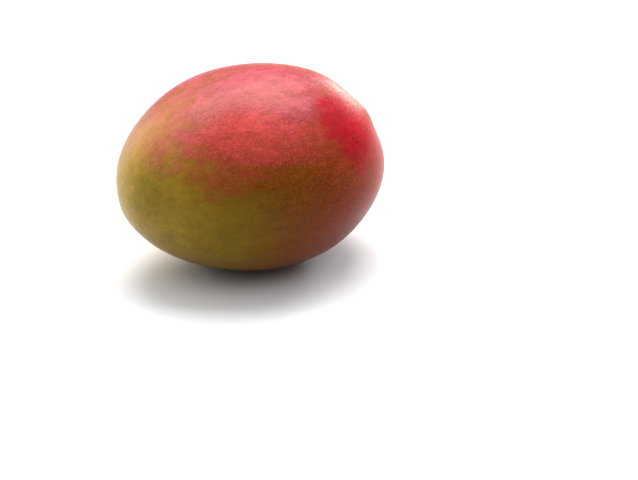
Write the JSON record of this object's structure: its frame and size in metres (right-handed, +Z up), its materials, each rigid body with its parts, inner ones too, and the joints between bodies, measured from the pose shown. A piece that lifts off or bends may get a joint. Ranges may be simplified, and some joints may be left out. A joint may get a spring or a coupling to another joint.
{
  "type": "mango",
  "caption": "Whole ripe mango as picked, lying on its side: an oval fruit with full cheeks and a shallow hollow at the stem end.",
  "frame": {"origin": "bottom centre of the box round the fruit, in the flat spot that it rests on", "axes": "+X towards the stem end along the length, +Y across the fruit, +Z up"},
  "size_m": [0.1196, 0.0886, 0.0895],
  "materials": {
    "mango_skin": "smooth waxy skin with a soft sheen, blushed crimson over olive green"
  },
  "bodies": {
    "root": {"mango_fruit": "mango_skin"}
  },
  "joints": []
}
